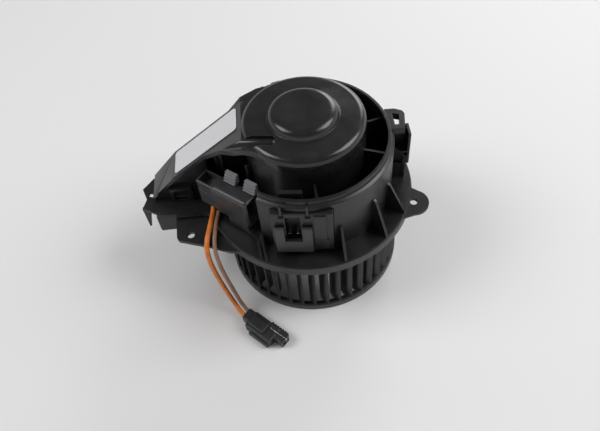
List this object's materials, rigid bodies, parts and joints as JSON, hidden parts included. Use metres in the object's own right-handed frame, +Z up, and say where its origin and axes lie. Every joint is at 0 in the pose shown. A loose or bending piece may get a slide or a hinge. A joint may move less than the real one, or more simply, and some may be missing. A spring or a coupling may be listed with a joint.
{
  "type": "automotive cabin blower motor",
  "caption": "Black moulded motor holder on a round flange, carrying a vertical motor with a squirrel-cage fan wheel below, a cooling air duct arm, a speed regulator and a two-wire lead.",
  "frame": {"origin": "middle of the underside of the box round the unit without its lead, level with the fan wheel's inlet ring", "axes": "+Z up along the motor's axis from the fan wheel to the cover cap; +X from the duct arm's mouth towards the fixing ear; +Y towards the side away from the two-wire lead"},
  "size_m": [0.233, 0.1961, 0.1636],
  "materials": {
    "holder_plastic": "satin black talc-filled polypropylene",
    "cover_plastic": "semi-gloss black polypropylene",
    "wheel_plastic": "satin black polypropylene",
    "label_film": "white satin film",
    "lug_plastic": "dark grey satin",
    "connector_plastic": "dark grey satin glass-filled nylon",
    "regulator_plastic": "black satin glass-filled nylon",
    "sink_aluminium": "die cast",
    "can_steel": "zinc plated",
    "sintered_bronze": "oil filled sintered bronze",
    "ferrite": "dull pressed ferrite",
    "spring_steel": "plain spring steel",
    "card_board": "brown phenolic board",
    "brass_tube": "drawn brass",
    "carbon": "copper graphite",
    "choke_core": "ferrite rod wound with enamelled wire",
    "capacitor_coat": "dipped ceramic",
    "damper_rubber": "soft moulded",
    "tinned_brass": "bright tin plate",
    "orange_insulation": "satin extruded insulation",
    "brown_insulation": "satin extruded insulation",
    "plug_plastic": "black satin nylon",
    "shaft_steel": "ground",
    "lamination_steel": "stacked electrical steel",
    "enamelled_copper": "varnished copper wire",
    "commutator_copper": "turned copper segments"
  },
  "bodies": {
    "housing": {"motor_holder": "holder_plastic", "motor_can": "can_steel", "motor_end_bell": "can_steel", "bearing_bush_lower": "sintered_bronze", "bearing_bush_upper": "sintered_bronze", "magnet_left": "ferrite", "magnet_right": "ferrite", "magnet_spring_front": "spring_steel", "magnet_spring_rear": "spring_steel", "brush_card": "card_board", "brush_tube_left": "brass_tube", "brush_tube_right": "brass_tube", "carbon_brush_left": "carbon", "carbon_brush_right": "carbon", "brush_spring_left": "spring_steel", "brush_spring_right": "spring_steel", "choke_front": "choke_core", "choke_rear": "choke_core", "suppressor_capacitor": "capacitor_coat", "damper_ring_lower": "damper_rubber", "damper_ring_upper": "damper_rubber", "motor_cover": "cover_plastic", "duct_label": "label_film", "ribbed_lug_left": "lug_plastic", "ribbed_lug_right": "lug_plastic", "supply_connector_shell": "connector_plastic", "supply_terminal_1": "tinned_brass", "supply_terminal_2": "tinned_brass", "supply_terminal_3": "tinned_brass", "regulator_body": "regulator_plastic", "regulator_socket_lip": "regulator_plastic", "regulator_heat_sink": "sink_aluminium", "regulator_contact_1": "tinned_brass", "regulator_contact_2": "tinned_brass", "wire_orange": "orange_insulation", "wire_brown": "brown_insulation", "plug_body": "plug_plastic", "plug_blade": "tinned_brass", "plug_pin": "tinned_brass"},
    "rotor": {"fan_wheel": "wheel_plastic", "motor_shaft": "shaft_steel", "armature_stack": "lamination_steel", "armature_windings": "enamelled_copper", "commutator": "commutator_copper", "wheel_push_nut": "spring_steel"}
  },
  "joints": [
    {"name": "rotor_spin", "type": "hinge", "parent": "housing", "child": "rotor", "pos_m": [0.02315, 0, 0.07], "axis": [0, 0, 1], "continuous": true}
  ]
}
